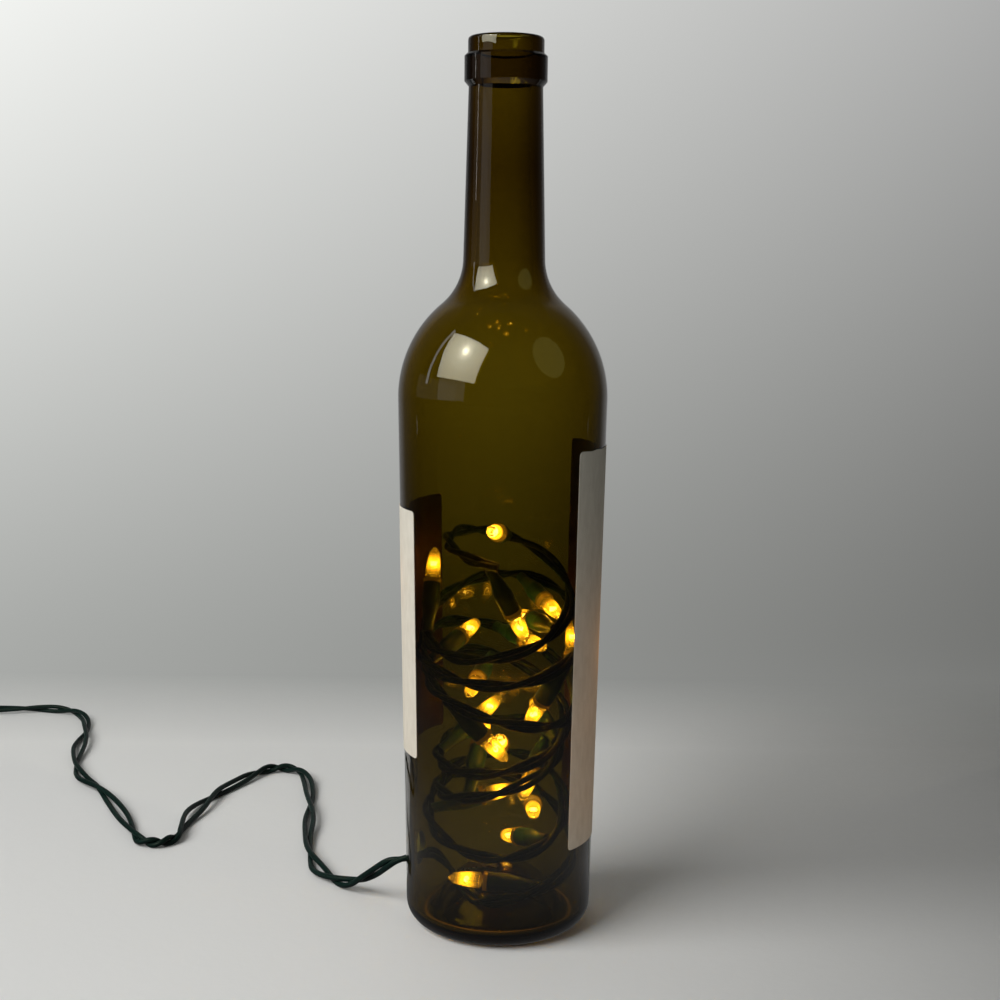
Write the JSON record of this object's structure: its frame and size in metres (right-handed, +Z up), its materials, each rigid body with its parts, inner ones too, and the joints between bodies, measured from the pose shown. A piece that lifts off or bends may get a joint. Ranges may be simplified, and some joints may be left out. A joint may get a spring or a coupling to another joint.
{
  "type": "wine bottle lamp",
  "caption": "Open wine bottle of dark olive glass with paper labels, lit by a string of small lamps inside; its twisted lead leaves by a drilled hole to a coil and fused plug.",
  "frame": {"origin": "centre of the bottle's base, on the surface it stands on", "axes": "+Z up along the bottle's axis; +X towards the front label; the lead leaves through the drilled hole near -X, and +Y is away from the picture's camera"},
  "size_m": [0.3822, 0.3144, 0.325],
  "materials": {
    "bottle_glass": "gloss",
    "label_paper": "matte",
    "wire_insulation": "satin",
    "lamp_plastic": "satin",
    "bulb_glass": "gloss",
    "filament_wire": "drawn wire",
    "tie_plastic": "satin",
    "plug_plastic": "satin",
    "blade_brass": "bright",
    "fuse_glass": "gloss"
  },
  "bodies": {
    "lamp": {"bottle": "bottle_glass", "front_label": "label_paper", "back_label": "label_paper", "light_string": "wire_insulation", "lamp_bases": "lamp_plastic", "lamp_filaments": "filament_wire", "lead_cord": "wire_insulation", "lead_coil": "wire_insulation", "coil_tie": "tie_plastic", "plug_body": "plug_plastic", "plug_blade_narrow": "blade_brass", "plug_blade_wide": "blade_brass", "plug_fuses": "fuse_glass", "fuse_contacts": "blade_brass", "lamp_01_socket": "lamp_plastic", "lamp_01_bulb": "bulb_glass", "lamp_02_socket": "lamp_plastic", "lamp_02_bulb": "bulb_glass", "lamp_03_socket": "lamp_plastic", "lamp_03_bulb": "bulb_glass", "lamp_04_socket": "lamp_plastic", "lamp_04_bulb": "bulb_glass", "lamp_05_socket": "lamp_plastic", "lamp_05_bulb": "bulb_glass", "lamp_06_socket": "lamp_plastic", "lamp_06_bulb": "bulb_glass", "lamp_07_socket": "lamp_plastic", "lamp_07_bulb": "bulb_glass", "lamp_08_socket": "lamp_plastic", "lamp_08_bulb": "bulb_glass", "lamp_09_socket": "lamp_plastic", "lamp_09_bulb": "bulb_glass", "lamp_10_socket": "lamp_plastic", "lamp_10_bulb": "bulb_glass", "lamp_11_socket": "lamp_plastic", "lamp_11_bulb": "bulb_glass", "lamp_12_socket": "lamp_plastic", "lamp_12_bulb": "bulb_glass", "lamp_13_socket": "lamp_plastic", "lamp_13_bulb": "bulb_glass", "lamp_14_socket": "lamp_plastic", "lamp_14_bulb": "bulb_glass", "lamp_15_socket": "lamp_plastic", "lamp_15_bulb": "bulb_glass", "lamp_16_socket": "lamp_plastic", "lamp_16_bulb": "bulb_glass", "lamp_17_socket": "lamp_plastic", "lamp_17_bulb": "bulb_glass", "lamp_18_socket": "lamp_plastic", "lamp_18_bulb": "bulb_glass", "lamp_19_socket": "lamp_plastic", "lamp_19_bulb": "bulb_glass", "lamp_20_socket": "lamp_plastic", "lamp_20_bulb": "bulb_glass"},
    "fuse_door": {"fuse_door": "plug_plastic"}
  },
  "joints": [
    {"name": "fuse_door_slide", "type": "slide", "parent": "lamp", "child": "fuse_door", "axis": [0, -1, 0], "range_m": [0, 0.011]}
  ]
}
